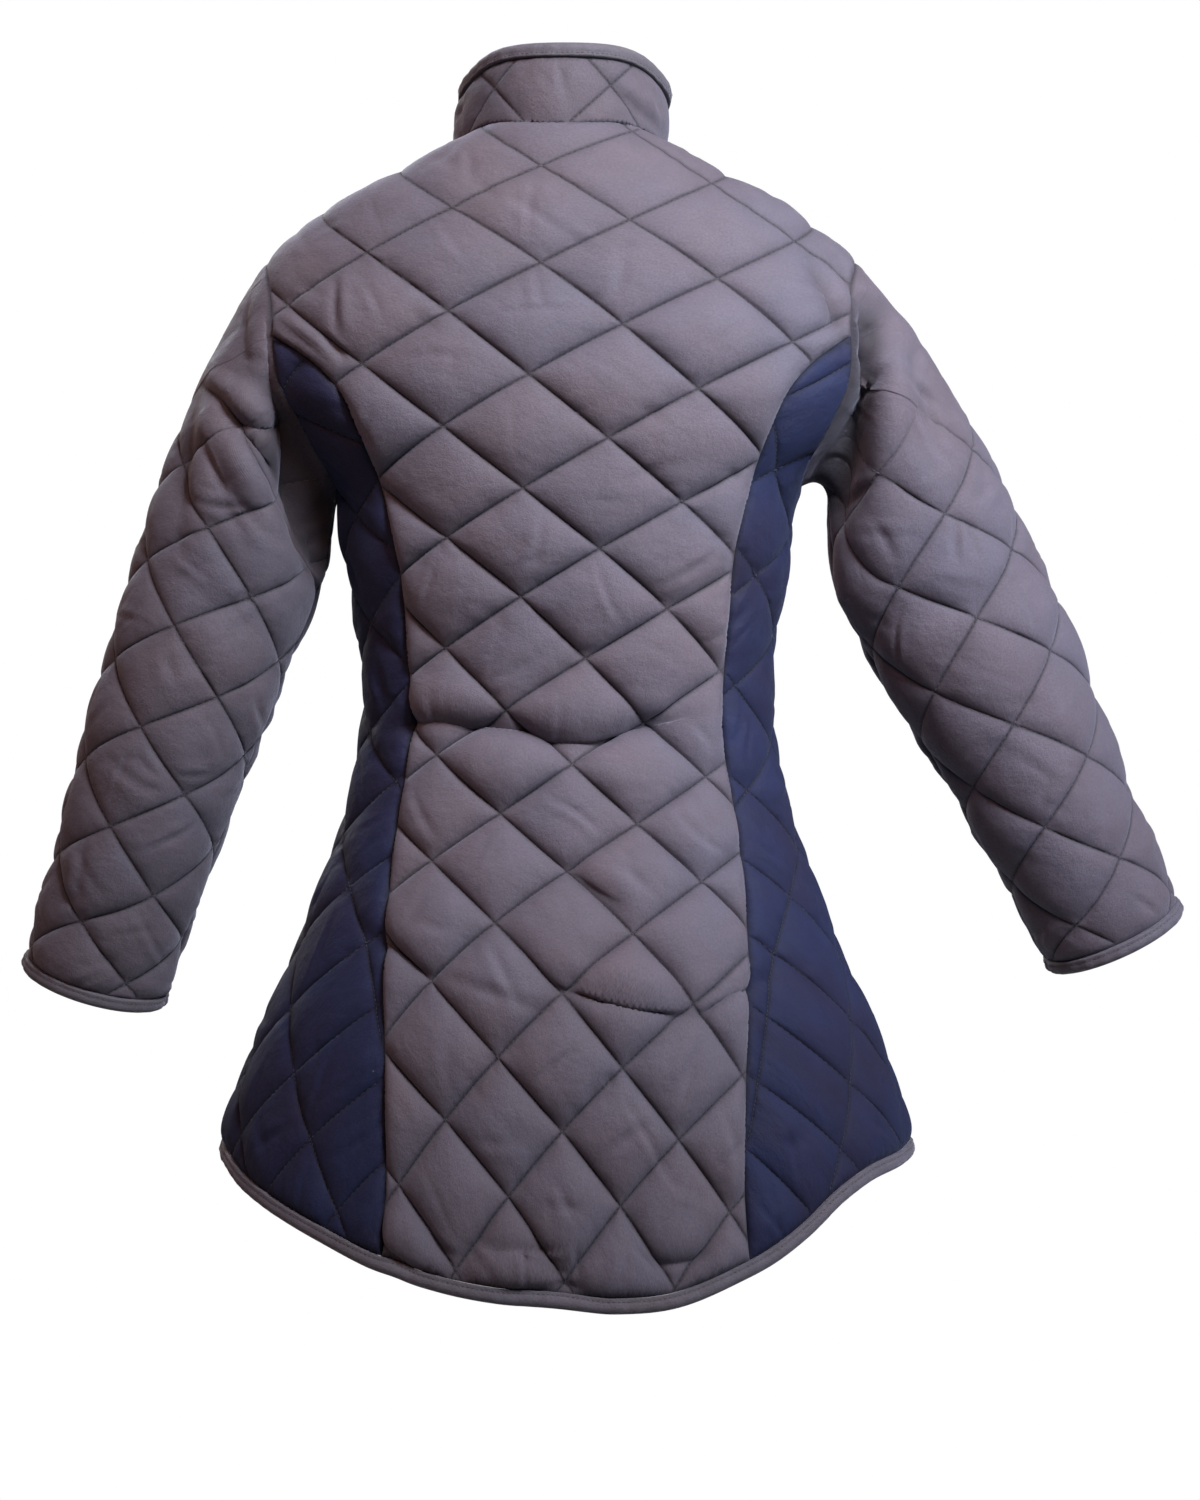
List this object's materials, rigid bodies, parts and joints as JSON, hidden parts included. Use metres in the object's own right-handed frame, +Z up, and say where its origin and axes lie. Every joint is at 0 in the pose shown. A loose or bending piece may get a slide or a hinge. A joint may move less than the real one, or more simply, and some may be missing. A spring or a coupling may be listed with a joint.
{
  "type": "gambeson",
  "caption": "Quilted padded coat with standing collar, long sleeves, curved side panels and a shirt-tail hem, as worn.",
  "frame": {"origin": "middle of the neck at shoulder height, where the wearer's shoulders carry the coat", "axes": "+Z up, the wearer faces -Y, +X towards the wearer's left"},
  "size_m": [0.8448, 0.3561, 0.874],
  "materials": {
    "grey_cloth": "quilted purple-grey cotton",
    "navy_cloth": "quilted navy cotton",
    "binding_tape": "folded cotton binding"
  },
  "bodies": {
    "root": {"back": "grey_cloth", "front_left": "grey_cloth", "front_right": "grey_cloth", "sleeve_left": "grey_cloth", "sleeve_right": "grey_cloth", "collar": "grey_cloth", "side_left": "navy_cloth", "side_right": "navy_cloth", "binding_hem": "binding_tape", "binding_cuff_left": "binding_tape", "binding_cuff_right": "binding_tape", "binding_collar": "binding_tape", "binding_front_left": "binding_tape", "binding_front_right": "binding_tape"}
  },
  "joints": []
}
